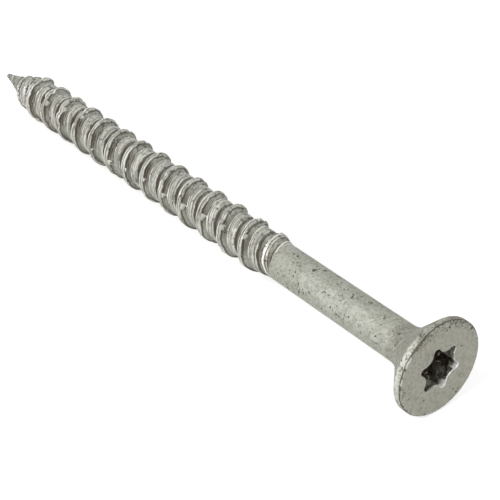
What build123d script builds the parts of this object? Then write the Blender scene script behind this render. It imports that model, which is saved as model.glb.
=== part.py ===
from build123d import *
import math
import os

# A masonry screw, forged and rolled as one piece. It is drawn upright, with its point at the
# origin and its head at the top, and is then laid down as it comes to rest on a floor: on the
# rim of its head and on the crest of its thread, with the point towards -X.
# Lengths run from the point towards the head. Azimuths turn from the drawn +X towards +Y.

# Overall length and plain shank
screw_length = 110.0
shank_d = 5.6

# Countersunk head: flat face, short cylindrical land, cone and large neck round
head_d = 13.9
head_land = 1.1
head_edge_chamfer = 0.25
countersink_angle = 90.0
neck_round = 4.0

# Six-lobe drive recess in the head face, with a shallow conical floor
lobe_count = 6
recess_across_lobes = 6.75
recess_across_valleys = 4.85
recess_lobe_r = 0.55
recess_depth = 3.3
recess_floor_depth = 0.5
recess_azimuth = 44.0

# Right-handed coarse thread: a high ridge with a lower one beside it, on a slimmer core
pitch = 5.0
crest_d = 7.5
low_ridge_d = 6.1
valley_d = 5.44
core_d = 5.24
crest_height_at_zero_azimuth = 0.75

# Axial widths of the ridges, in order from the side of the point to the side of the head
rise_width = 0.65
crest_width = 0.82
fall_width = 0.51
step_width = 0.36
low_ridge_width = 1.78

# Tapered point, and where the thread reaches its full height and runs out into the shank
point_d = 0.5
point_cone_length = 9.5
point_cone_d = 6.7
full_thread_start = 13.0
full_thread_end = 75.0
runout_length = 4.0
shank_taper_length = 2.0

# How far a joined end sinks into the core, and how far the trimming outline clears the crest
sink = 0.2
clear = 0.3

core_r = core_d / 2
crest_r = crest_d / 2
shank_r = shank_d / 2
head_r = head_d / 2
shank_start = full_thread_end + runout_length
land_start = screw_length - head_land
cone_start = land_start - (head_r - shank_r) / math.tan(math.radians(countersink_angle / 2))

# One pitch of the thread's surface, as radius and height above the middle of the crest
valley_height = crest_width / 2 + fall_width
low_ridge_height = valley_height + step_width
low_ridge_end = low_ridge_height + low_ridge_width
root_height = -crest_width / 2 - rise_width
thread_outline = [
    (core_r, root_height),
    (crest_r, -crest_width / 2),
    (crest_r, crest_width / 2),
    (valley_d / 2, valley_height),
    (low_ridge_d / 2, low_ridge_height),
    (low_ridge_d / 2, low_ridge_end),
    (core_r, root_height + pitch),
]

# A threaded rod that starts two turns below the point and reaches past the run-out. Each strip of
# its surface is ruled between two helices that climb one turn, and each end is a helical ramp
# with a step where the turn closes.
rod_start = crest_height_at_zero_azimuth - 2 * pitch
rod_turns = math.ceil((shank_start - rod_start) / pitch) + 1
rod_faces = []
for turn in range(rod_turns):
    turn_start = rod_start + turn * pitch
    helices = [
        Edge.make_helix(pitch, pitch, radius, center=(0, 0, turn_start + height))
        for radius, height in thread_outline
    ]
    for lower, upper in zip(helices, helices[1:]):
        rod_faces.append(Face.make_surface_from_curves(lower, upper))
for end in (rod_start, rod_start + rod_turns * pitch):
    root = end + root_height
    axis_edge = Edge.make_line((0, 0, root), (0, 0, root + pitch))
    root_edge = Edge.make_helix(pitch, pitch, core_r, center=(0, 0, root))
    step_points = [(0, 0, root)]
    step_points += [(radius, 0, end + height) for radius, height in thread_outline]
    step_points += [(0, 0, root + pitch)]
    rod_faces.append(Face.make_surface_from_curves(axis_edge, root_edge))
    rod_faces.append(Face(Wire.make_polygon(step_points, close=True)))
threaded_rod = Solid(Shell(rod_faces))

# The thread with its core: the rod trimmed to the tapered point and to the run-out
with BuildPart() as thread:
    add(threaded_rod)
    with BuildSketch(Plane.XZ):
        with BuildLine():
            Polyline(
                (0, 0),
                (point_d / 2, 0),
                (point_cone_d / 2, point_cone_length),
                (crest_r + clear, full_thread_start),
                (crest_r + clear, full_thread_end),
                (core_r - sink, shank_start + clear),
                (0, shank_start + clear),
                close=True,
            )
        make_face()
    revolve(axis=Axis.Z, mode=Mode.INTERSECT)

# Shank and head in one turned outline, with the thread joined on and the recess cut in
with BuildPart() as upright_screw:
    with BuildSketch(Plane.XZ) as outline:
        with BuildLine():
            Polyline(
                (0, shank_start - shank_taper_length),
                (core_r - sink, shank_start - shank_taper_length),
                (shank_r, shank_start),
                (shank_r, cone_start),
                (head_r, land_start),
                (head_r, screw_length),
                (0, screw_length),
                close=True,
            )
        make_face()
        neck = outline.vertices().sort_by_distance((shank_r, cone_start))[0]
        fillet(neck, radius=neck_round)
        face_edge = outline.vertices().sort_by_distance((head_r, screw_length))[0]
        chamfer(face_edge, length=head_edge_chamfer)
    revolve(axis=Axis.Z)
    add(thread.part)

    # Lobe circles and the bulges between them touch where their centres are in line
    lobe_ring = recess_across_lobes / 2 - recess_lobe_r
    half_step = math.radians(180.0 / lobe_count)
    valley_r = recess_across_valleys / 2
    toward_bulge = lobe_ring * math.cos(half_step)
    bulge_r = (lobe_ring**2 + valley_r**2 - 2 * valley_r * toward_bulge - recess_lobe_r**2) / (
        2 * (recess_lobe_r + toward_bulge - valley_r)
    )
    bulge_ring = valley_r + bulge_r
    lobe_swing = math.degrees(
        math.atan2(bulge_ring * math.sin(half_step), bulge_ring * math.cos(half_step) - lobe_ring)
    )
    bulge_swing = lobe_swing - 180.0 / lobe_count
    with BuildSketch(Plane.XY.offset(screw_length)) as recess:
        with BuildLine():
            for lobe in range(lobe_count):
                azimuth = recess_azimuth + 360.0 * lobe / lobe_count
                between = azimuth + 180.0 / lobe_count
                lobe_centre = Vector(lobe_ring, 0).rotate(Axis.Z, azimuth)
                bulge_centre = Vector(bulge_ring, 0).rotate(Axis.Z, between)
                CenterArc(lobe_centre, recess_lobe_r, azimuth - lobe_swing, 2 * lobe_swing)
                CenterArc(bulge_centre, bulge_r, between + 180 + bulge_swing, -2 * bulge_swing)
        make_face()
    extrude(amount=-recess_depth, mode=Mode.SUBTRACT)
    with BuildSketch(Plane.XZ):
        with BuildLine():
            Polyline(
                (0, screw_length - recess_depth - recess_floor_depth),
                (valley_r, screw_length - recess_depth),
                (0, screw_length - recess_depth),
                close=True,
            )
        make_face()
    revolve(axis=Axis.Z, mode=Mode.SUBTRACT)

# Rest: the floor touches the rim of the head and the first full crest on the screw's underside
underside_azimuth = 270.0
underside_crest = crest_height_at_zero_azimuth + pitch * underside_azimuth / 360.0
contact_turns = math.ceil((full_thread_start - underside_crest) / pitch)
contact_height = underside_crest + contact_turns * pitch - crest_width / 2
rest_tilt = math.atan2(head_r - crest_r, land_start - contact_height)
along = math.cos(rest_tilt)
upward = math.sin(rest_tilt)

# The drawn +X lies across the floor, the drawn +Y points up and the head is towards +X
rest_plane = Plane(
    origin=(-(screw_length * along + head_r * upward) / 2, 0, head_r * along - land_start * upward),
    x_dir=(0, 1, 0),
    z_dir=(along, 0, upward),
)
lying_screw = upright_screw.part.moved(rest_plane.location)

with BuildPart() as masonry_screw:
    add(lying_screw)

os.makedirs("parts", exist_ok=True)
masonry_screw.part.label = "masonry_screw"
export_step(masonry_screw.part, "parts/masonry_screw.step")
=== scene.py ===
import math

import bpy
import numpy as np
from bpy.props import FloatProperty, FloatVectorProperty, PointerProperty
from mathutils import Matrix, Vector


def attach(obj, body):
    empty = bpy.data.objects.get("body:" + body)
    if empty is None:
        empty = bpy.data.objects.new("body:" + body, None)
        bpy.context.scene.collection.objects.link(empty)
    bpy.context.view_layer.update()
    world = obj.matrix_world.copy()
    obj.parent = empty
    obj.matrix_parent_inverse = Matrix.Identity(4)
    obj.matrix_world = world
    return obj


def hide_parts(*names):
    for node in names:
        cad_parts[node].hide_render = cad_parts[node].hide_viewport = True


bl_info = {
    "name": "Masonry screw",
    "version": (1, 0, 0),
    "blender": (4, 5, 0),
    "location": "View3D > Sidebar > Screw",
    "description": "Dresses a coated masonry screw with its rolled thread and its worn finish",
    "category": "Object",
}

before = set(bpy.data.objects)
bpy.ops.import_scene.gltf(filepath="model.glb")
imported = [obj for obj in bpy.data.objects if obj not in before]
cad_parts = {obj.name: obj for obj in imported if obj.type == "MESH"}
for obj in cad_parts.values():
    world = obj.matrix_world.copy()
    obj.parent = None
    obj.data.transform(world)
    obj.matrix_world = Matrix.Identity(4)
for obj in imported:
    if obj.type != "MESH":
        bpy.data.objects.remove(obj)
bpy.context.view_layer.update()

# Sizes in millimetres, drawn upright: the point at the origin and the head at the top
LENGTH = 110.0
SHANK_R = 2.8
HEAD_R = 6.95
LAND = 1.1
LAND_ROUND = 0.08
EDGE_ROUND = 0.25
NECK_ROUND = 4.0
LOBES = 6
LOBE_TIP = 3.375
LOBE_VALLEY = 2.425
LOBE_R = 0.55
RECESS_DEPTH = 3.3
RECESS_FLOOR = 0.5
RECESS_ROUND = 0.12
RECESS_AZIMUTH = math.radians(44.0)
PITCH = 5.0
CREST_R = 3.75
CORE_R = 2.62
CREST_AT_ZERO = 0.75
SHANK_START = 79.0
CONTACT = 14.09
TILT = math.atan2(HEAD_R - CREST_R, LENGTH - LAND - CONTACT)

# The cone of the point and the cone of the run-out, as heights and the radius at each
POINT_Z = (0.0, 1.6, 3.2, 4.8, 6.2, 7.6, 9.5, 11.0, 13.5)
POINT_R = (0.3, 0.62, 1.0, 1.45, 1.98, 2.66, 3.36, 3.62, 4.05)
RUNOUT_Z = (70.5, 73.7, 76.2, 79.3)
RUNOUT_R = (4.05, 3.66, 3.4, 2.5)

# The tip's small disc, where the core starts to widen to the shank, and the radius at which the
# random fields of the thread are read
TIP_Z = 0.02
TIP_R = 0.24
TAPER_START = 77.0
TAPER_R = 2.42
FIELD_R = 3.0

# Height across the thread, from the middle of the high crest: where a turn starts, and its middle
BAND_START = -0.95
BAND_MIDDLE = 1.55

# Direction of the axis as the screw lies, and where its point is, in millimetres
ALONG = np.array([math.cos(TILT), 0.0, math.sin(TILT)])
ACROSS = np.array([0.0, 1.0, 0.0])
ABOVE = np.cross(ALONG, ACROSS)
POINT = np.array(
    [
        -(LENGTH * math.cos(TILT) + HEAD_R * math.sin(TILT)) / 2,
        0.0,
        HEAD_R * math.cos(TILT) - (LENGTH - LAND) * math.sin(TILT),
    ]
)

# Columns of the skin's grid round the axis, and a circle of radius 1 through them
COLUMNS = 132
AZIMUTHS = np.arange(COLUMNS) / COLUMNS * 2 * math.pi
CIRCLE = np.array([np.cos(AZIMUTHS), np.sin(AZIMUTHS)])

# Lift tells the coating where it is: 0 to 1 from root to crest on the thread, and these elsewhere
POINT_LIFT = 0.5
BODY_LIFT = -1.0
FACE_LIFT = -2.0
RECESS_LIFT = -3.0
# Wind is the way round one pitch of the thread, as a cosine and a sine, and how far burrs fill it
NO_WIND = (-1.0, 0.0, 0.0)

# The side that shows as the screw's upper outline in the photo
FAR_AZIMUTH = math.radians(43)

# The camera, fitted to the photo: its lens in pixels of a picture 500 pixels wide, its place in
# metres, and the directions of the picture's right, down and depth
FOCAL_PIXELS = 1324.56
PICTURE_PIXELS = 500.0
SENSOR_WIDTH = 36.0
CAMERA_SPOT = (0.141099, -0.097455, 0.114305)
CAMERA_RIGHT = (0.61452, 0.78890, 0.0)
CAMERA_DOWN = (0.45093, -0.35126, -0.82054)
CAMERA_AHEAD = (-0.64732, 0.50424, -0.57159)

# How far the floor reaches each way, in metres, how much it glows where it is looked at, and its
# colour
FLOOR_REACH = 3.0
FLOOR_GLOW = 0.55
FLOOR_COLOUR = (0.72, 0.72, 0.72, 1.0)

# Name, place, width and power of each lamp, in metres and watts
LAMPS = (
    ("key lamp", (-0.02, -0.48, 0.42), 0.3, 1.9),
    ("fill lamp", (0.46, -0.22, 0.4), 0.4, 0.9),
)


class ScrewSizes(bpy.types.PropertyGroup):
    """How deep the marks of rolling and handling are."""

    roughness_depth: FloatProperty(
        name="Rolling marks",
        description="Height of the dents and lumps that the rolling dies leave, in millimetres",
        default=0.035,
        min=0.0,
        max=0.1,
    )
    burr_height: FloatProperty(
        name="Burr height",
        description="How far the burrs fill the groove beside the high ridge, as a share",
        default=1.0,
        min=0.0,
        max=1.0,
    )
    pit_depth: FloatProperty(
        name="Pit depth",
        description="Depth of the pits in the coating",
        default=0.00012,
        min=0.0,
        max=0.001,
        unit="LENGTH",
    )


class ScrewColours(bpy.types.PropertyGroup):
    """The colours of the coating and of what shows through it, some of which also paint light and
    shade.
    """

    # also the painted light on the lit wall of the drive recess
    coating: FloatVectorProperty(
        name="Coating",
        description="Grey-green coating on the shank and the head",
        subtype="COLOR",
        default=(0.365, 0.37, 0.31),
    )
    # also painted light: the shank's side towards the light, the thread's sides turned from the
    # camera, and the ribs in the drive recess
    coating_pale: FloatVectorProperty(
        name="Pale coating",
        description="Thicker, paler patches of the coating",
        subtype="COLOR",
        default=(0.53, 0.538, 0.478),
    )
    # partly thin rolled coating and partly painted light on the flanks turned to the light
    ribbon: FloatVectorProperty(
        name="Rolled ribbon",
        description="Rolled tops of both ridges, where the coating is thin and bright",
        subtype="COLOR",
        default=(0.275, 0.275, 0.235),
    )
    # partly the duller coating and partly painted shade in the grooves and at the neck
    root: FloatVectorProperty(
        name="Thread root",
        description="Dull olive-grey floor of the thread's grooves",
        subtype="COLOR",
        default=(0.172, 0.163, 0.123),
    )
    # also painted highlights on crest edges, burrs, the land and in the drive recess
    worn: FloatVectorProperty(
        name="Worn metal",
        description="Bright metal on rubbed crests and edges",
        subtype="COLOR",
        default=(0.86, 0.855, 0.79),
    )
    face: FloatVectorProperty(
        name="Head face",
        description="Flat beige-grey face of the head",
        subtype="COLOR",
        default=(0.39, 0.38, 0.31),
    )
    # also painted shade: thin dark lines between the thread's bands, and the far wall and depths of
    # the drive recess
    scale: FloatVectorProperty(
        name="Brown scale",
        description="Brown line where the coating has lifted round the face",
        subtype="COLOR",
        default=(0.055, 0.042, 0.03),
    )
    recess: FloatVectorProperty(
        name="Drive recess",
        description="Dark, oily skin inside the drive recess",
        subtype="COLOR",
        default=(0.125, 0.105, 0.09),
    )


def placed(points):
    """Points of the lying screw in metres: the screw's point plus z along its axis, x across the
    floor and y away from it."""
    x, y, z = points[:, :1], points[:, 1:2], points[:, 2:]
    return (POINT + z * ALONG + x * ACROSS + y * ABOVE) / 1000.0


def waves(x, y, z, scale, seed, count=28):
    """A smooth random field about 0, mostly within 1 of it: the sum of plane waves over the root of
    their number. Directions and phases are random, and wavelengths are 0.7 to 1.8 times the scale,
    in millimetres."""
    source = np.random.default_rng(seed)
    total = np.zeros(np.broadcast(x, y, z).shape)
    for _ in range(count):
        direction = source.normal(size=3)
        direction *= 2 * math.pi / (scale * source.uniform(0.7, 1.8)) / np.linalg.norm(direction)
        total += np.sin(
            direction[0] * x + direction[1] * y + direction[2] * z + source.uniform(0, 2 * math.pi)
        )
    return total / math.sqrt(count)


def smooth(low, high, value):
    """A soft step from 0 at low to 1 at high: three times the square less twice the cube."""
    share = np.clip((value - low) / (high - low), 0.0, 1.0)
    return share * share * (3.0 - 2.0 * share)


# Rows of the thread's grid in one pitch, as height above the middle of the high crest
THREAD_ROWS = np.array(
    [
        -0.95, -0.86, -0.78, -0.68, -0.58, -0.48, -0.4, -0.31, -0.22, -0.08, 0.08, 0.2, 0.3, 0.4,
        0.5, 0.6, 0.7, 0.8, 0.9, 1.0, 1.1, 1.2, 1.3, 1.4, 1.52, 1.66, 1.9, 2.2, 2.5, 2.75, 2.95,
        3.12, 3.28, 3.45, 3.65, 3.87,
    ]
)
# The rolled section: radius against height above the middle of the high crest
PROFILE_H = np.array(
    [
        -0.95, -0.86, -0.72, -0.55, -0.42, -0.31, -0.2, 0.1, 0.24, 0.4, 0.55, 0.7, 0.82, 0.92,
        1.04, 1.12, 1.2, 1.3, 1.4, 1.6, 2.2, 2.75, 3.0, 3.15, 3.3, 3.45, 3.65, 4.05,
    ]
)
PROFILE_R = np.array(
    [
        2.66, 2.72, 3.05, 3.5, 3.68, 3.74, 3.75, 3.75, 3.7, 3.52, 3.25, 2.95, 2.76, 2.7, 2.72,
        2.8, 2.92, 3.0, 3.03, 3.04, 3.03, 3.0, 2.95, 2.88, 2.76, 2.68, 2.64, 2.62,
    ]
)


def thread_surface(sizes):
    """Radius, lift, burr filling and height of the thread over its grid. Rows climb with the
    helix, so each follows one line of the rolled profile: height is the row's own, plus one pitch
    for each turn of the azimuth."""
    turns = np.arange(-2, 17)
    rows = (turns[:, None] * PITCH + THREAD_ROWS[None, :]).ravel()
    height = np.tile(THREAD_ROWS, len(turns))
    turn = np.repeat(turns, len(THREAD_ROWS))
    z = CREST_AT_ZERO + rows[:, None] + PITCH * AZIMUTHS[None, :] / (2 * math.pi)
    h, turn, a = (np.broadcast_to(v, z.shape) for v in (height[:, None], turn[:, None], AZIMUTHS))
    return (*radius_at(z, h, a, turn, sizes), z)


# Azimuth in degrees at which a burr of the rolling dies breaks off, and its size from 0 to 1, for
# each turn from turn 3 on
BURR_ENDS = np.array([130, 116, 107, 172, 172, 162, 156, 162, 155, 146, 137, 128, 119, 110.0])
BURR_SIZES = np.array([0.7, 0.8, 0.5, 0.4, 0.5, 0.3, 0.4, 0.8, 0.9, 1.0, 0.7, 0.3, 0.2, 0.2])


def burrs(h, a, turn, rough):
    """How far the groove beside the high ridge is filled, from 0 to 1: in each turn two wedges with
    rough edges, which are widest where they break off and narrow to nothing as azimuth grows."""
    index = np.clip(turn - 3, 0, len(BURR_ENDS) - 1)
    end, size = np.radians(BURR_ENDS[index]), BURR_SIZES[index]
    total = np.zeros(h.shape)
    # radians from the burr's end to the wedge's, and the length of the largest wedge in degrees
    for across, length in ((0.0, 20.0), (3.4, 13.0)):
        back = (a - end - across) % (2 * math.pi) / (math.radians(length) * (0.5 + 0.5 * size))
        reach = 0.5 + 0.85 * size * (1.0 - back) + 0.12 * rough
        total = np.maximum(total, smooth(reach + 0.1, reach - 0.1, h) * (back < 1.0))
    return total * smooth(0.35, 0.5, h) * (turn >= 3)


def radius_at(z, h, a, turn, sizes):
    """Radius of the thread, its lift from 0 at the root to 1 on the crest, and how far the burrs
    fill the groove: the rolled section plus burrs, dents and fine lumps, under the cone of the
    point and the cone of the run-out."""
    x, y = FIELD_R * np.cos(a), FIELD_R * np.sin(a)
    wobble = waves(x, y, z, 3.5, 11)
    fine = waves(x, y, z, 0.8, 12, 40)
    drift = 0.075 * waves(x, y, z, 2.2, 13)
    nicks = smooth(0.4, 1.5, waves(x, y, z, 1.5, 14, 40))
    far_side = 0.5 + 0.5 * np.cos(a - FAR_AZIMUTH)
    low_ridge = smooth(1.2, 1.5, h) * smooth(3.3, 2.9, h)
    base = np.interp(h + drift, PROFILE_H, PROFILE_R)
    lift = (base - CORE_R) / (CREST_R - CORE_R)

    # burrs lean against the high ridge and slope down across the groove
    filled = burrs(h, a, turn, fine)
    burr = 3.62 - 0.7 * (h - 0.5) + 0.06 * fine
    radius = base + sizes.burr_height * filled * np.maximum(burr - base, 0.0)

    # the low ridge waves up and down, the crest is flattened and nicked, and both are lumpy
    flattened = 0.06 * np.clip(wobble, 0, 1) + 0.12 * smooth(48, 53, z) * far_side
    radius += 0.05 * low_ridge * wobble - lift * flattened
    radius += sizes.roughness_depth * fine * (0.5 + 0.5 * low_ridge)
    radius -= (5.0 + 7.0 * far_side) * sizes.roughness_depth * nicks * lift
    radius += sizes.roughness_depth * fine * smooth(28, 12, z)

    # the cones of the point and the run-out cut the crest, and the point keeps a shallow groove
    at_point = z < 20
    envelope = np.interp(z, POINT_Z + RUNOUT_Z, POINT_R + RUNOUT_R) + 0.06 * fine * at_point
    groove = 0.42 * smooth(3.6, 7.5, z) * (1.0 - lift)
    radius = np.minimum(radius, envelope - groove * at_point)
    body = np.interp(z, [TAPER_START, SHANK_START], [TAPER_R, SHANK_R])
    radius = np.where(z > TAPER_START, np.maximum(radius, body), radius)
    return np.minimum(radius, CREST_R), lift, filled


def recess_outline(share):
    """Places across the axis on the six-lobe outline, at shares 0 to 1 of its length. Each sixth is
    a lobe arc about a centre on the lobe ring, and a bulge arc tangent to it about a centre
    outside."""
    ring = LOBE_TIP - LOBE_R
    half = math.pi / LOBES
    toward_bulge = ring * math.cos(half)
    bulge = (ring**2 + LOBE_VALLEY**2 - 2 * LOBE_VALLEY * toward_bulge - LOBE_R**2) / (
        2 * (LOBE_R + toward_bulge - LOBE_VALLEY)
    )
    far = LOBE_VALLEY + bulge
    swing = math.atan2(far * math.sin(half), far * math.cos(half) - ring)
    turn = swing - half
    lobe_length, bulge_length = 2 * swing * LOBE_R, 2 * turn * bulge
    step = share * LOBES
    index = np.floor(step + 1e-9)
    run = (step - index) * (lobe_length + bulge_length) - lobe_length / 2
    on_lobe = run < lobe_length / 2
    base = index * 2 * half
    lobe_angle = base + run / LOBE_R
    bulge_angle = base + half + math.pi + turn - (run - lobe_length / 2) / bulge
    x = np.where(
        on_lobe,
        ring * np.cos(base) + LOBE_R * np.cos(lobe_angle),
        far * np.cos(base + half) + bulge * np.cos(bulge_angle),
    )
    y = np.where(
        on_lobe,
        ring * np.sin(base) + LOBE_R * np.sin(lobe_angle),
        far * np.sin(base + half) + bulge * np.sin(bulge_angle),
    )
    c, s = math.cos(RECESS_AZIMUTH), math.sin(RECESS_AZIMUTH)
    return c * x - s * y, s * x + c * y


def body_profile():
    """Radius and height of shank, neck, cone, land and rim, from the run-out to the face's edge."""
    cone_start = LENGTH - LAND - (HEAD_R - SHANK_R)
    tangent = NECK_ROUND * math.tan(math.radians(22.5))
    shank = np.linspace(SHANK_START + 0.25, cone_start - tangent, 60)
    r, z = [np.full(60, SHANK_R)], [shank]
    sweep = np.radians(np.linspace(0, 45, 15)[1:])
    r.append(SHANK_R + NECK_ROUND * (1 - np.cos(sweep)))
    z.append(cone_start - tangent + NECK_ROUND * np.sin(sweep))
    steps = np.linspace(0, 1, 12)[1:]
    start_r, start_z = r[-1][-1], z[-1][-1]
    r.append(start_r + (HEAD_R - LAND_ROUND - start_r) * steps)
    z.append(start_z + (LENGTH - LAND - LAND_ROUND - start_z) * steps)
    r.append(np.array([HEAD_R - LAND_ROUND / 4, HEAD_R, HEAD_R, HEAD_R, HEAD_R]))
    z.append(LENGTH - LAND + np.array([-LAND_ROUND / 4, LAND_ROUND, 0.3, 0.55, 0.8]))
    sweep = np.radians(np.linspace(0, 90, 7)[1:])
    r.append(HEAD_R - EDGE_ROUND * (1 - np.cos(sweep)))
    z.append(LENGTH - EDGE_ROUND + EDGE_ROUND * np.sin(sweep))
    return np.concatenate(r), np.concatenate(z)


class Skin:
    """The points of the screw's skin, added ring by ring, with the lift and the wind of each."""

    def __init__(self):
        self.points, self.lifts, self.winds = [], [], []

    def ring(self, places, z, lift, wind=NO_WIND):
        """Adds a ring from its places across the axis and its height, and returns the numbers of
        its points."""
        start = COLUMNS * len(self.points)
        self.points.append(np.column_stack([*places, np.broadcast_to(z, COLUMNS)]))
        self.lifts.append(np.broadcast_to(lift, COLUMNS))
        self.winds.append(np.column_stack([np.broadcast_to(v, COLUMNS) for v in wind]))
        return np.arange(start, start + COLUMNS)


def thread_grid(skin, first, last, sizes):
    """Adds the thread's rows and returns their grid of point numbers. What would lie below the
    point is drawn into the first ring, and what would lie on the shank into the last ring."""
    radius, lift, filled, z = thread_surface(sizes)
    rows_per_turn = len(THREAD_ROWS)
    grid = []
    for row in range(len(z)):
        below = z[row] <= TIP_Z
        inside = ~below & (z[row] < SHANK_START)
        numbers = np.where(below, first, last)
        if inside.any():
            turned = (THREAD_ROWS[row % rows_per_turn] - BAND_MIDDLE) / PITCH * 2 * math.pi
            wind = (math.cos(turned), math.sin(turned), filled[row])
            own = skin.ring(CIRCLE * radius[row], z[row], lift[row], wind)
            numbers = np.where(inside, own, numbers)
        grid.append(numbers)
    # the last column of a row meets the first column of the row one pitch higher
    grid = np.array(grid)
    closing = np.concatenate([grid[rows_per_turn:, 0], np.full(rows_per_turn, last[0])])
    return np.column_stack([grid, closing])


def body_rings(skin):
    """Adds the rings of the shank, the neck, the cone and the land, with shallow dents."""
    rings = []
    for r, z in zip(*body_profile()):
        dent = 0.012 * np.clip(waves(*(CIRCLE * r), z, 2.5, 21), -1.5, 0.0)
        rings.append(skin.ring(CIRCLE * (r + dent), z, BODY_LIFT))
    return rings


def face_rings(skin):
    """Adds the rings of the face, which pass from the circle of the rim to the outline of the
    recess, and those of the recess: its rounded edge, its wall and its dished floor."""
    outline = np.array(recess_outline(np.arange(COLUMNS) / COLUMNS))
    first_azimuth = math.atan2(outline[1, 0], outline[0, 0])
    outline = np.roll(outline, round(first_azimuth / (2 * math.pi) * COLUMNS), axis=1)
    edge = outline * (1.0 + RECESS_ROUND / np.hypot(*outline))
    rim = CIRCLE * (HEAD_R - EDGE_ROUND)
    rings = []
    for t in np.linspace(0, 1, 16)[1:]:
        rings.append(skin.ring(rim + (edge - rim) * t, LENGTH, FACE_LIFT))
    for t in (0.35, 0.7, 1.0):
        drop = RECESS_ROUND * (1 - math.sqrt(1 - t * t))
        rings.append(skin.ring(edge + (outline - edge) * t, LENGTH - drop, RECESS_LIFT))
    for depth in np.linspace(RECESS_ROUND, RECESS_DEPTH, 10)[1:]:
        rings.append(skin.ring(outline, LENGTH - depth, RECESS_LIFT))
    for t in np.linspace(0, 1, 9)[1:-1]:
        floor = LENGTH - RECESS_DEPTH - RECESS_FLOOR * smooth(0.2, 1.0, t)
        rings.append(skin.ring(outline * (1 - t), floor, RECESS_LIFT))
    return rings


def screw_surface(sizes):
    """The whole skin as one closed grid: the thread's rows, the rings of the turned body, the face
    and the recess, and a fan to one point at each end. Gives points, lift, wind and faces."""
    skin = Skin()
    first = skin.ring(CIRCLE * TIP_R, 0.0, POINT_LIFT)
    last = skin.ring(CIRCLE * SHANK_R, SHANK_START + 0.1, BODY_LIFT)
    grid = thread_grid(skin, first, last, sizes)
    rings = [last, *body_rings(skin), *face_rings(skin)]
    closed = np.array([np.append(numbers, numbers[0]) for numbers in rings])

    tip = COLUMNS * len(skin.points)
    well = tip + 1
    ends = [(0.0, 0.0, 0.0), (0.0, 0.0, LENGTH - RECESS_DEPTH - RECESS_FLOOR)]
    points = np.vstack([*skin.points, ends])
    lifts = np.concatenate([*skin.lifts, [POINT_LIFT, RECESS_LIFT]])
    winds = np.vstack([*skin.winds, NO_WIND, NO_WIND])
    faces = [quads(grid), quads(closed), fan(first[::-1], tip), fan(rings[-1], well)]
    return points, lifts, winds, np.vstack(faces)


def fan(ring, middle):
    """Faces from a ring to one point in its middle, each with that point as two of its corners."""
    ends = np.full(COLUMNS, middle)
    return np.column_stack([ring, np.roll(ring, -1), ends, ends])


def quads(grid):
    """Faces between neighbouring rows and columns of a table of vertex numbers."""
    a, b = grid[:-1, :-1], grid[:-1, 1:]
    c, d = grid[1:, 1:], grid[1:, :-1]
    return np.stack([a, b, c, d], axis=-1).reshape(-1, 4)


def make_mesh(name, points, faces, lifts=None, winds=None):
    """A mesh from points and four-cornered faces. Corners that repeat are dropped, so a face that
    a clipped row squeezes becomes a triangle or goes."""
    after = np.roll(faces, -1, axis=1)
    keep = faces != after
    size = keep.sum(axis=1)
    opposite = (faces[:, 0] == faces[:, 2]) | (faces[:, 1] == faces[:, 3])
    good = (size >= 3) & ~opposite
    faces, keep, size = faces[good], keep[good], size[good]
    loops = faces[keep]
    used, loops = np.unique(loops, return_inverse=True)
    points = points[used]
    starts = np.concatenate([[0], np.cumsum(size)[:-1]])
    mesh = bpy.data.meshes.new(name)
    mesh.vertices.add(len(points))
    mesh.vertices.foreach_set("co", points.astype(np.float32).ravel())
    mesh.loops.add(len(loops))
    mesh.loops.foreach_set("vertex_index", loops.astype(np.int32).ravel())
    mesh.polygons.add(len(size))
    mesh.polygons.foreach_set("loop_start", starts.astype(np.int32))
    mesh.polygons.foreach_set("use_smooth", np.ones(len(size), bool))
    if lifts is not None:
        lift = mesh.attributes.new("lift", "FLOAT", "POINT")
        lift.data.foreach_set("value", lifts[used].astype(np.float32))
        wind = mesh.attributes.new("wind", "FLOAT_VECTOR", "POINT")
        wind.data.foreach_set("vector", winds[used].astype(np.float32).ravel())
    mesh.update(calc_edges=True)
    mesh.validate()
    made = bpy.data.objects.new(name, mesh)
    bpy.context.scene.collection.objects.link(made)
    return made


class Socket:
    """One socket of a shader, with arithmetic that adds Math nodes."""

    def __init__(self, tree, socket):
        self.tree, self.socket = tree, socket

    def math(self, operation, other=None, swap=False):
        values = [self, other] if other is not None else [self]
        if swap:
            values.reverse()
        return self.tree.node("ShaderNodeMath", {"operation": operation}, dict(enumerate(values)))

    def __add__(self, other):
        return self.math("ADD", other)

    __radd__ = __add__

    def __mul__(self, other):
        return self.math("MULTIPLY", other)

    __rmul__ = __mul__

    def __sub__(self, other):
        return self.math("SUBTRACT", other)

    def __rsub__(self, other):
        return self.math("SUBTRACT", other, swap=True)

    def step(self, low, high):
        """0 below low and 1 above high, with a smooth passage; low may be above high."""
        return self.tree.node(
            "ShaderNodeMapRange",
            {"interpolation_type": "SMOOTHSTEP"},
            {"Value": self, "From Min": low, "From Max": high},
        )

    def between(self, low, high, soft):
        """1 from low to high, falling to 0 over a soft width outside each end."""
        return self.step(low - soft, low) * self.step(high + soft, high)

    def stripes(self, *spans):
        """The largest of several stripes, each given by its ends, soft width and strength."""
        total = None
        for low, high, soft, strength in spans:
            stripe = self.between(low, high, soft) * strength
            total = stripe if total is None else total.largest(stripe)
        return total

    def largest(self, other):
        return self.math("MAXIMUM", other)

    def over(self, share, colour):
        """This colour with another one laid over it, as thickly as the share says."""
        return self.tree.mix(share, self, colour)

    def other(self, name):
        """Another output of the same node."""
        return Socket(self.tree, self.socket.node.outputs[name])


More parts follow.
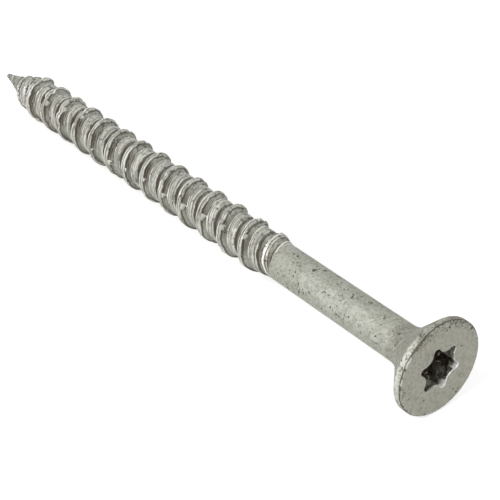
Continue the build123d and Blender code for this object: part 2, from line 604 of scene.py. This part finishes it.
class Shader:
    """The node tree of a material or a world, built by one method."""

    def __init__(self, owner):
        self.owner = owner
        owner.use_nodes = True
        self.nodes = owner.node_tree.nodes
        self.links = owner.node_tree.links
        self.nodes.clear()

    def node(self, kind, settings=None, inputs=None, output=0):
        """Adds a node of the given type, applies its settings, then sets or links its sockets."""
        made = self.nodes.new(kind)
        for key, value in (settings or {}).items():
            if key == "stops":
                ramp = made.color_ramp
                while len(ramp.elements) < len(value):
                    ramp.elements.new(0.5)
                for element, (place, colour) in zip(ramp.elements, value):
                    element.position, element.color = place, colour
            else:
                setattr(made, key, value)
        for key, value in (inputs or {}).items():
            if isinstance(value, Socket):
                self.links.new(value.socket, made.inputs[key])
            else:
                made.inputs[key].default_value = value
        return None if output is None else Socket(self, made.outputs[output])

    def mix(self, share, first, second):
        """A colour between two others. A node that mixes colours has them as inputs 6 and 7 and
        the result as output 2."""
        return self.node(
            "ShaderNodeMix",
            {"data_type": "RGBA", "clamp_factor": True},
            {0: share, 6: first, 7: second},
            output=2,
        )

    def vector(self, operation, first, second):
        """Vector arithmetic; SCALE takes a number as its second value."""
        key = 3 if operation == "SCALE" else 1
        output = 1 if operation in ("DOT_PRODUCT", "DISTANCE") else 0
        return self.node(
            "ShaderNodeVectorMath", {"operation": operation}, {0: first, key: second}, output
        )

    def measure(self, place, direction):
        """Millimetres from the screw's point along a direction."""
        reach = self.vector("DOT_PRODUCT", place, tuple(direction * 1000.0))
        return reach - float(POINT @ direction)

    def noise(self, place, scale, detail, roughness, bend=0.0):
        """Grey noise; on Object coordinates its scale is in features a metre."""
        values = {"Scale": scale, "Detail": detail, "Roughness": roughness, "Distortion": bend}
        return self.node("ShaderNodeTexNoise", {}, {"Vector": place, **values})


# Single pits: height, distance from the axis, azimuth and size, in millimetres and degrees
PITS = (
    (86.1, 2.8, 101, 0.26), (86.3, 2.8, 94, 0.13), (86.5, 2.8, 87, 0.14), (87.1, 2.8, 82, 0.13),
    (82.1, 2.8, 92, 0.16), (81.8, 2.8, 71, 0.14), (85.6, 2.8, 185, 0.15), (86.5, 2.8, 177, 0.15),
    (93.8, 2.8, 95, 0.14), (94.0, 2.8, 101, 0.12), (94.2, 2.8, 108, 0.12), (96.8, 2.8, 86, 0.18),
    (97.5, 2.8, 84, 0.13), (97.4, 2.8, 64, 0.14), (93.3, 2.8, 173, 0.14), (88.9, 2.8, 88, 0.13),
    (92.0, 2.8, 164, 0.13), (90.4, 2.8, 187, 0.15), (93.9, 2.8, 174, 0.14), (84.0, 2.8, 148, 0.12),
    (110.0, 6.6, 37, 0.2), (110.0, 4.1, 28, 0.12), (110.0, 4.6, 236, 0.14), (110.0, 5.6, 202, 0.1),
    (110.0, 5.3, 300, 0.13), (110.0, 6.3, 301, 0.16), (110.0, 6.1, 306, 0.13),
    (110.0, 5.9, 112, 0.13), (110.0, 5.1, 105, 0.12), (110.0, 6.1, 79, 0.15),
    (110.0, 6.5, 70, 0.17), (110.0, 6.6, 58, 0.14), (110.0, 5.7, 83, 0.12), (110.0, 4.6, 146, 0.1),
)

# How far a pit's outline is shaken, in metres, by a random field from 0 to 1
SHAKE = 0.0005

# Colours of small spots: brown under the point, painted sheen, and painted bright reflections
UNDERSIDE_BROWN = (0.42, 0.37, 0.32, 1.0)
SHEEN_COLOUR = (0.7, 0.71, 0.7, 1.0)
SPARKLE = (0.95, 0.95, 0.95, 1.0)
GLINT = (0.95, 0.95, 0.93, 1.0)
GLEAM = (0.97, 0.97, 0.95, 1.0)


def toward(azimuth):
    """Direction out from the screw's axis at an azimuth in degrees."""
    turn = math.radians(azimuth)
    return math.cos(turn) * ACROSS + math.sin(turn) * ABOVE


def rgba(colour):
    """A colour with full cover."""
    return (*colour, 1.0)


class Place:
    """What the coating knows about each point of the skin: the kind of surface that it is on, its
    distances in millimetres and the random fields there."""

    def __init__(self, tree):
        self.tree = tree
        self.spot = tree.node("ShaderNodeTexCoord", output="Object")
        self.lift = tree.node("ShaderNodeAttribute", {"attribute_name": "lift"}, output="Fac")
        wind = tree.node("ShaderNodeAttribute", {"attribute_name": "wind"}, output="Vector")
        parts = tree.node("ShaderNodeSeparateXYZ", {}, {0: wind})
        self.across, self.burr = parts.other("Y").math("ARCTAN2", parts), parts.other("Z")

        self.on_thread = self.lift.step(-0.6, -0.1)
        self.on_body = self.lift.between(BODY_LIFT - 0.2, BODY_LIFT + 0.2, 0.2)
        self.on_face = self.lift.between(FACE_LIFT - 0.2, FACE_LIFT + 0.2, 0.3)
        self.in_recess = self.lift.step(RECESS_LIFT + 0.5, RECESS_LIFT + 0.1)

        # out from the axis towards the camera, the upper outline and the floor
        self.along = tree.measure(self.spot, ALONG)
        self.near, self.far, self.under = self.side(145), self.side(40), self.side(225)
        first, second = self.side(0), self.side(90)
        self.out = (first * first + second * second).math("SQRT")

        self.mottle = tree.noise(self.spot, 900.0, 5.0, 0.65)
        self.patches = tree.noise(self.spot, 230.0, 3.0, 0.5)
        self.grain = tree.noise(self.spot, 2300.0, 4.0, 0.75)
        # streaks run the way the thread winds, since wind only changes across it
        turned, still = tree.vector("SCALE", wind, 3.6), tree.vector("SCALE", self.spot, 330.0)
        self.streaks = tree.noise(tree.vector("ADD", turned, still), 1.0, 2.0, 0.6)

    def side(self, azimuth):
        """Distance from the screw's axis towards an azimuth in degrees."""
        return self.tree.measure(self.spot, toward(azimuth))


def band_stops(colours):
    """Colour against height across the thread: the pale ribbons of both ridges, partly thin rolled
    coating and partly painted light on flanks turned to the light, and the dull grooves between
    them, partly duller coating and partly painted shade where the ridges hide the root. Heights are
    from the crest's middle."""
    dull, ribbon = np.array(colours.root), np.array(colours.ribbon)
    table = (
        (-0.95, dull * 0.85), (-0.5, dull * 0.85), (-0.42, ribbon), (0.38, ribbon), (0.47, dull),
        (0.95, dull), (1.16, dull * 0.85), (1.24, ribbon), (2.2, ribbon * 1.15), (3.0, ribbon),
        (3.12, dull * 0.8), (4.05, dull * 0.85),
    )
    return [((height - BAND_START) / PITCH, rgba(colour)) for height, colour in table]


def thread_colour(tree, at, colours):
    """The thread: pale ribbons on both ridges and dull grooves between them, partly painted light
    and shade, streaked the way the thread winds, with thin lines of painted shade between the
    bands, bright edges of worn metal and painted highlight, bright burrs and painted glints. Spans
    of h are heights across the thread, from the middle of the high crest."""
    pale, worn = rgba(colours.coating_pale), rgba(colours.worn)
    root, scale = rgba(colours.root), rgba(colours.scale)
    share = at.across * (1 / (2 * math.pi)) + (BAND_MIDDLE - BAND_START) / PITCH
    share = share + (at.mottle - 0.5) * 0.06
    h = share * PITCH + BAND_START
    bands = tree.node("ShaderNodeValToRGB", {"stops": band_stops(colours)}, {0: share})

    # grain and streaks, then painted light that pales the sides turned from the camera
    tops = h.stripes((-0.45, 0.4, 0.08, 1.0), (1.22, 3.0, 0.1, 1.0))
    near_point = at.along.step(26.0, 10.0)
    bands = bands.over(at.grain.step(0.51, 0.6) * 0.25, pale)
    bands = bands.over(at.streaks.step(0.53, 0.59) * tops * 0.35, worn)
    bands = bands.over(at.streaks.step(0.46, 0.4) * (near_point * 0.4 + 0.3), root)
    bands = bands.over(at.grain.step(0.51, 0.6) * tops * 0.2, worn)
    bands = bands.over(at.grain.step(0.49, 0.4) * 0.45, root)
    # painted light: paler on the side turned from the camera and on the underside, where they face
    # the white surround, and paler at the very tip
    fade = (at.far.step(-0.4, 1.8) * 0.8).largest(at.under.step(0.9, 2.8) * 0.5)
    fade = fade.largest(at.along.step(5.5, 2.5) * 0.45)
    bands = bands.over(fade, pale)
    # brownish towards the underside near the point
    bands = bands.over(at.under.step(0.5, 2.5) * near_point * 0.5, UNDERSIDE_BROWN)
    bands = bands.over(at.streaks.step(0.53, 0.57) * tops * 0.35, worn)
    bands = bands.over(at.streaks.step(0.47, 0.42) * 0.4, root)

    # thin dark lines of painted shade between the bands, dark flecks on the far side, and a painted
    # sheen along the ridges
    # painted shade: thin dark lines where a ridge hides the groove behind it and at the feet of the
    # flanks
    shade_lines = h.stripes(
        (0.4, 0.52, 0.05, 1.0),
        (1.0, 1.16, 0.05, 1.0),
        (3.08, 3.42, 0.06, 1.0),
        (-0.6, -0.45, 0.05, 0.8),
        (1.6, 1.69, 0.05, 0.9),
        (-0.05, 0.03, 0.04, 0.9),
        (2.6, 2.67, 0.04, at.streaks.step(0.56, 0.5)),
    )
    bands = bands.over(shade_lines * (1.0 - fade * 0.4) * at.mottle.step(0.3, 0.4), scale)
    flecks = tree.noise(at.spot, 1300.0, 1.0, 0.5).step(0.58, 0.66) * at.far.step(0.6, 1.6)
    bands = bands.over(flecks * 0.65, scale)
    # painted highlight: a silvery sheen along the middle of the low ridge's ribbon and beside the
    # high crest, off the far side
    painted_sheen = h.stripes((1.75, 2.75, 0.25, 1.0), (0.08, 0.3, 0.06, 1.0)) * (1.0 - fade * 1.4)
    bands = bands.over(painted_sheen * at.streaks.step(0.4, 0.5) * 0.2, SHEEN_COLOUR)

    # the groove beside the high ridge, lined along the thread as far as the last turns
    in_groove = (1.0 - fade) * at.along.step(62.0, 50.0)
    lines = h.stripes((0.6, 0.66, 0.04, 1.0), (0.84, 0.9, 0.04, 1.0)) * at.streaks.step(0.6, 0.5)
    bands = bands.over(lines * in_groove * 0.9, scale)
    bands = bands.over(h.between(0.72, 0.78, 0.04) * in_groove * 0.5, rgba(colours.ribbon))

    # edges of the ridges and tops of the burrs, bright with worn metal and painted highlights, the
    # burrs more so on the lower side
    edges = h.stripes((-0.36, -0.14, 0.05, 1.0), (1.32, 1.52, 0.05, 1.0))
    edges = edges * (1.0 - fade * 0.3) * at.streaks.step(0.38, 0.48)
    bands = bands.over(edges * 0.8, worn)
    low_side = at.side(200).step(2.0, 2.8) * at.along.step(54.0, 46.0)
    burr_tops = at.burr.step(0.4, 0.7) * at.mottle.step(0.38, 0.5) * (low_side * 0.45 + 0.45)
    bands = bands.over(burr_tops, worn)

    # painted glints: a few bright spots beside the point, and where the last turn of the thread
    # runs out
    sparkle = at.along.between(6.0, 10.5, 2.0) * at.side(165).step(1.2, 2.6)
    bands = bands.over(sparkle * at.streaks.step(0.5, 0.56) * at.grain.step(0.46, 0.54), SPARKLE)
    glint = at.along.between(76.5, 78.0, 0.4) * at.across.between(-2.56, -2.28, 0.14)
    return bands.over(glint * at.near.step(2.2, 2.8) * at.grain.step(0.47, 0.56) * 0.8, GLINT)


def body_colour(tree, at, colours):
    """The shank and the head: a mottled coating with painted light along the shank's near side and
    painted shade at the neck, with a beige face and a land that is flaked, chipped, cracked, worn
    and painted bright on one side. Also gives where the land is worn and painted bright."""
    coating, pale = rgba(colours.coating), rgba(colours.coating_pale)
    worn, root = rgba(colours.worn), rgba(colours.root)
    plain = tree.mix(at.patches.step(0.35, 0.7) * 0.4, coating, pale)
    # painted light: a paler, mottled band along the shank's side towards the camera, where the
    # light falls
    near_shank = at.near.step(2.3, 2.65) * at.along.between(87.0, 103.0, 7.0)
    plain = plain.over(near_shank * at.mottle.step(0.44, 0.54) * 0.75, pale)
    # painted shade in the hollow of the neck and up the cone, in the root colour
    plain = plain.over(at.along.between(103.4, 108.2, 0.9) * 0.45, root)

    # the land, and the face with its chipped edge
    land = at.along.step(108.75, 108.95) * at.on_body
    left, top = at.side(162), at.side(82)
    # worn metal and painted highlight: bright on the land's side towards the light
    rubbed_and_glinting = land * left.step(4.6, 6.9) * (at.mottle + at.grain * 0.5).step(0.66, 0.82)
    flaked = land * (at.mottle - top * 0.015).step(0.46, 0.38) * at.near.step(-3.0, 1.0)
    plain = plain.over(flaked * 0.65, root)
    beige = tree.mix(at.patches.step(0.45, 0.62) * 0.6, rgba(colours.face), coating)
    plain = plain.over(at.on_face, beige)
    chips = tree.noise(at.spot, 900.0, 3.0, 0.6, 1.6).between(0.515, 0.55, 0.014)
    chips = chips * at.along.step(109.2, 109.6) * at.out.step(5.6, 6.3) * top.step(2.2, 5.0)

    # grain, which is weaker on the face, then the land's bright side of worn metal and painted
    # highlight, and the cracks round the land
    strength = 1.0 - at.on_face * 0.3
    plain = plain.over(at.grain.step(0.5, 0.62) * 0.4 * strength, pale)
    plain = plain.over(at.grain.step(0.5, 0.38) * 0.55 * strength, root)
    plain = plain.over(rubbed_and_glinting * 0.5, worn)
    rough_along = at.along + (at.mottle - 0.5) * 0.6
    cracks = rough_along.stripes(
        (109.79, 109.93, 0.04, 1.0), (108.82, 108.94, 0.05, at.grain.step(0.53, 0.47))
    )
    cracks = cracks * at.near.step(-2.5, 1.5) * at.out.step(6.45, 6.65) * at.grain.step(0.38, 0.46)
    return plain.over(cracks.largest(chips) * 0.9, rgba(colours.scale)), rubbed_and_glinting


def pits(tree, at):
    """How far each point is pitted, from 0 to 1: in scattered pits and specks, in curled scratches,
    and in single pits at their own places, with a bent outline. The face has fewer of them."""
    scattered = tree.noise(at.spot, 1150.0, 2.0, 0.5).step(0.655, 0.72)
    scattered = scattered * at.patches.step(0.42, 0.58) * (1.0 - at.on_face * 0.75)
    specks = tree.noise(at.spot, 2100.0, 1.0, 0.4).step(0.69, 0.75) * (1.0 - at.on_face * 0.8)
    curls = tree.noise(at.spot, 800.0, 2.0, 0.5, 1.2).between(0.492, 0.508, 0.006)
    curls = curls * tree.noise(at.spot, 500.0, 1.0, 0.4).step(0.6, 0.68)
    holes = scattered.largest(specks).largest(curls * (1.0 - at.on_face * 0.4))
    shake = tree.noise(at.spot, 2500.0, 2.0, 0.5).other("Color")
    bent = tree.vector("ADD", at.spot, tree.vector("SCALE", shake, SHAKE))
    for height, reach, azimuth, size in PITS:
        centre = (POINT + height * ALONG + reach * toward(azimuth)) / 1000.0 + SHAKE / 2
        # a pit is whole up to 0.8 of its size and gone at 1.4 of it
        gap = tree.vector("DISTANCE", bent, tuple(centre))
        holes = holes.largest(gap.step(size * 0.0014, size * 0.0008))
    return holes


def recess_colour(tree, at, colours):
    """The drive recess: nearly black, with painted light on the wall and rib of one side near the
    mouth, light blots of painted reflection, painted shade on the far wall and deep down, and a
    painted gleam at its mouth. Also gives where it gleams."""
    coating, scale = rgba(colours.coating), rgba(colours.scale)
    side = at.side(313)
    # painted light: the wall of one side lighter towards the mouth, and its ribs
    wall = at.along.step(106.7, 109.5) * side.step(-0.6, 2.4) * at.mottle.step(0.34, 0.56)
    inside = tree.mix(wall * 0.6, rgba(colours.recess), coating)
    rib = at.out.step(2.75, 2.5) * side.step(0.0, 1.6) * at.along.step(106.9, 109.6)
    inside = inside.over(rib * 0.8, rgba(colours.coating_pale))
    # painted reflections in light blots, and painted shade in dark blots, on the far wall and deep
    # down
    blot = tree.noise(at.spot, 620.0, 3.0, 0.6, 0.8)
    inside = inside.over(blot.step(0.54, 0.6) * side.step(-0.5, 1.0), rgba(colours.worn))
    dark = blot.step(0.47, 0.38).largest(side.step(-0.9, -2.2))
    inside = inside.over(dark.largest(at.along.step(107.3, 106.9)) * 0.9, scale)
    # painted highlight at the mouth and along its edge
    mouth = at.along.step(109.0, 109.5) * at.out.step(2.75, 3.0) * side.step(1.5, 2.3)
    edge = at.along.between(109.87, 110.0, 0.03) * side.step(1.2, 2.0) * 0.8
    gleam = mouth.largest(edge) * at.mottle.step(0.34, 0.46)
    return inside.over(gleam, GLEAM), gleam


def coated_steel(colours, sizes):
    """The coating: mottled grey-green on the shank and the head, in bright and dark bands along the
    thread that partly paint light and shade, dark in pits, and with painted light and shade in the
    drive recess."""
    tree = Shader(bpy.data.materials.new("coated steel"))
    at = Place(tree)
    body, rubbed_and_glinting = body_colour(tree, at, colours)
    inside, gleam = recess_colour(tree, at, colours)
    holes = pits(tree, at)
    colour = body.over(at.on_thread, thread_colour(tree, at, colours))
    colour = colour.over(holes * 0.92, rgba(colours.scale))
    colour = colour.over(at.in_recess, inside)

    height = (1.0 - holes) + at.grain * 0.5 + at.mottle * 0.6 + at.streaks * at.on_thread * 0.5
    bump = tree.node(
        "ShaderNodeBump", {}, {"Strength": 0.8, "Distance": sizes.pit_depth, "Height": height}
    )
    bright = at.lift.step(0.75, 0.97) * at.on_thread
    rough = 0.55 - at.in_recess * 0.25 - bright * 0.1 - rubbed_and_glinting * 0.15
    rough = rough + at.mottle.step(0.3, 0.7) * 0.08
    metal = 0.15 + bright * 0.2 + rubbed_and_glinting * 0.2 + at.in_recess * (1.0 - gleam) * 0.6
    surface = tree.node(
        "ShaderNodeBsdfPrincipled",
        {},
        {"Base Color": colour, "Roughness": rough, "Metallic": metal, "Normal": bump},
    )
    tree.node("ShaderNodeOutputMaterial", {}, {"Surface": surface}, output=None)
    return tree.owner


class SCREW_OT_screw(bpy.types.Operator):
    """Builds the detailed skin of the screw and gives it its coating"""

    bl_idname = "masonry_screw.screw"
    bl_label = "Screw"

    def execute(self, context):
        sizes, colours = context.scene.screw_sizes, context.scene.screw_colours
        points, lifts, winds, faces = screw_surface(sizes)
        screw = make_mesh("screw", placed(points), faces, lifts, winds)
        screw.data.materials.append(coated_steel(colours, sizes))
        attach(screw, "root")
        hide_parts("masonry_screw")
        return {"FINISHED"}


def area_lamp(name, spot, size, watts):
    """A square soft lamp that faces the origin."""
    data = bpy.data.lights.new(name, "AREA")
    data.shape, data.size, data.energy = "SQUARE", size, watts
    lamp = bpy.data.objects.new(name, data)
    bpy.context.scene.collection.objects.link(lamp)
    lamp.location = spot
    lamp.rotation_mode = "QUATERNION"
    lamp.rotation_quaternion = (-Vector(spot)).to_track_quat("-Z", "Y")


def photo_camera():
    """The camera, at the photo's place and angle."""
    data = bpy.data.cameras.new("camera")
    data.sensor_width = SENSOR_WIDTH
    data.lens = FOCAL_PIXELS / PICTURE_PIXELS * SENSOR_WIDTH
    data.clip_start, data.clip_end = 0.01, 20.0
    camera = bpy.data.objects.new("camera", data)
    bpy.context.scene.collection.objects.link(camera)
    axes = (Vector(CAMERA_RIGHT), -Vector(CAMERA_DOWN), -Vector(CAMERA_AHEAD))
    turn = Matrix(axes).transposed().to_4x4()
    turn.translation = Vector(CAMERA_SPOT)
    camera.matrix_world = turn
    return camera


class SCREW_OT_stage(bpy.types.Operator):
    """Adds the floor, the lamps, the world and the camera"""

    bl_idname = "masonry_screw.stage"
    bl_label = "Stage"

    def execute(self, context):
        scene = context.scene
        corners = np.array([[-1, -1, 0], [1, -1, 0], [1, 1, 0], [-1, 1, 0]]) * FLOOR_REACH
        floor = make_mesh("floor", corners, np.array([[0, 1, 2, 3]]))
        floor.data.materials.append(pale_floor())
        scene.world = studio_world()
        for lamp in LAMPS:
            area_lamp(*lamp)
        scene.camera = photo_camera()
        scene.view_settings.view_transform = "Standard"
        return {"FINISHED"}


def background_seen(tree):
    """1 where the floor or the world is looked at, directly, in a reflection or through glass,
    and 0 where it only lights the screw."""
    seen = tree.node("ShaderNodeLightPath", output="Is Camera Ray")
    return seen.largest(seen.other("Is Glossy Ray")).largest(seen.other("Is Transmission Ray"))


def pale_floor():
    """A white floor that keeps the screw's soft shadow and stays white around it."""
    tree = Shader(bpy.data.materials.new("pale floor"))
    matt = tree.node("ShaderNodeBsdfDiffuse", {}, {"Color": FLOOR_COLOUR})
    glow = tree.node("ShaderNodeEmission", {}, {"Strength": background_seen(tree) * FLOOR_GLOW})
    both = tree.node("ShaderNodeAddShader", {}, {0: matt, 1: glow})
    tree.node("ShaderNodeOutputMaterial", {}, {"Surface": both}, output=None)
    return tree.owner


def studio_world():
    """An even white surround that lights the screw at half strength."""
    tree = Shader(bpy.data.worlds.new("studio"))
    strength = background_seen(tree) * 0.5 + 0.5
    light = tree.node(
        "ShaderNodeBackground", {}, {"Color": (1.0, 1.0, 1.0, 1.0), "Strength": strength}
    )
    tree.node("ShaderNodeOutputWorld", {}, {"Surface": light}, output=None)
    return tree.owner


class SCREW_PT_panel(bpy.types.Panel):
    """Lists the steps that build the screw"""

    bl_idname = "SCREW_PT_panel"
    bl_label = "Masonry screw"
    bl_space_type = "VIEW_3D"
    bl_region_type = "UI"
    bl_category = "Screw"

    def draw(self, context):
        for group in (context.scene.screw_sizes, context.scene.screw_colours):
            for key in group.bl_rna.properties.keys():
                if key not in ("rna_type", "name"):
                    self.layout.prop(group, key)
        self.layout.operator(SCREW_OT_screw.bl_idname)
        self.layout.operator(SCREW_OT_stage.bl_idname)


CLASSES = (ScrewSizes, ScrewColours, SCREW_OT_screw, SCREW_OT_stage, SCREW_PT_panel)


def register():
    for kind in CLASSES:
        bpy.utils.register_class(kind)
    bpy.types.Scene.screw_sizes = PointerProperty(type=ScrewSizes)
    bpy.types.Scene.screw_colours = PointerProperty(type=ScrewColours)


def unregister():
    del bpy.types.Scene.screw_colours
    del bpy.types.Scene.screw_sizes
    for kind in reversed(CLASSES):
        bpy.utils.unregister_class(kind)


def main():
    register()
    bpy.ops.masonry_screw.screw()
    bpy.ops.masonry_screw.stage()


if __name__ == "__main__":
    main()
